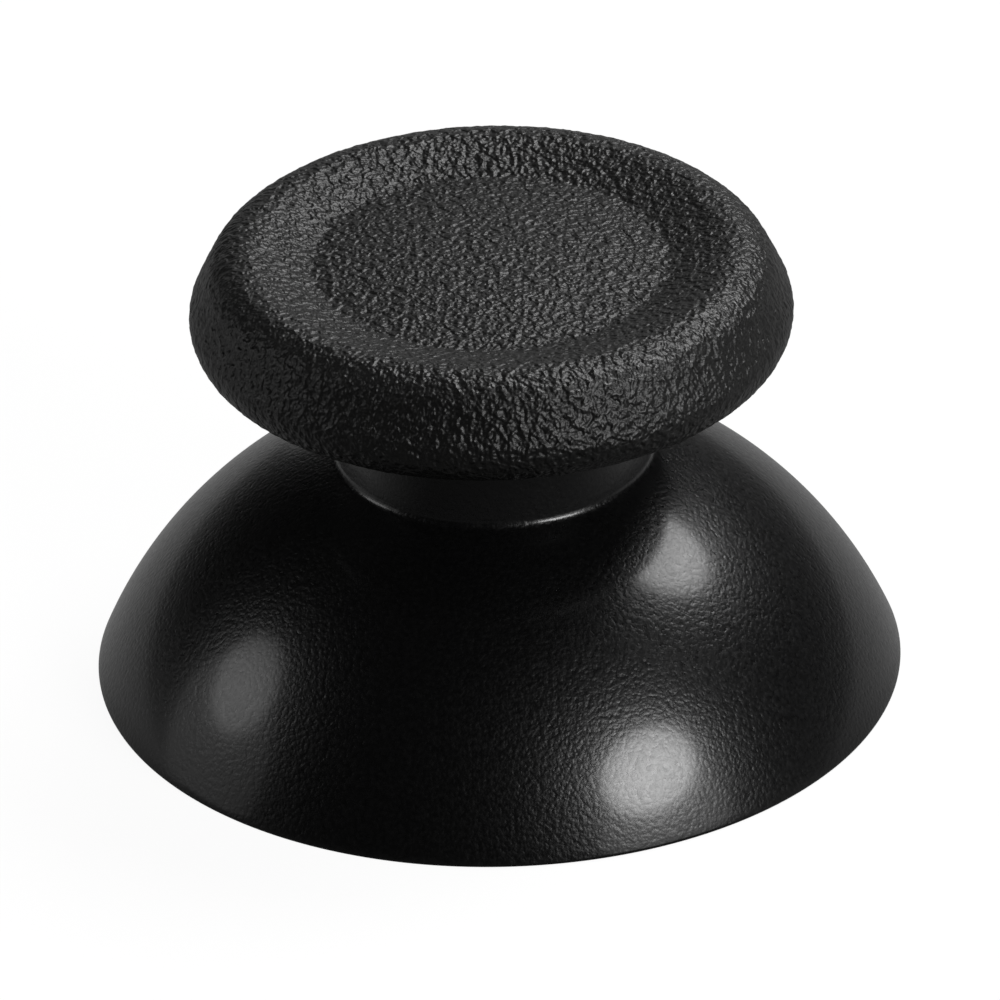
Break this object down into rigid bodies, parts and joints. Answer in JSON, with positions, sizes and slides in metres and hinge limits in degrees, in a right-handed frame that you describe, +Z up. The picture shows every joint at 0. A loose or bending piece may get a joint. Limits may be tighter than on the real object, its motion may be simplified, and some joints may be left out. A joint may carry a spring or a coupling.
{
  "type": "controller analog stick",
  "caption": "Thumb stick of a game controller: hollow round skirt with a keyed socket inside, short neck, and a soft grained grip with a raised ring round a crowned disc.",
  "frame": {"origin": "centre of the skirt's rim plane, on which the loose stick stands", "axes": "+Z up the stick's own axis towards the grip; the flats of the socket face +Y and -Y"},
  "size_m": [0.026, 0.026, 0.0151],
  "materials": {
    "hard_shot": "satin black, hard moulded plastic",
    "soft_shot": "soft black moulding compound with a fine leather-like grain, matt"
  },
  "bodies": {
    "root": {"dome_base": "hard_shot", "grip_cap": "soft_shot"}
  },
  "joints": []
}
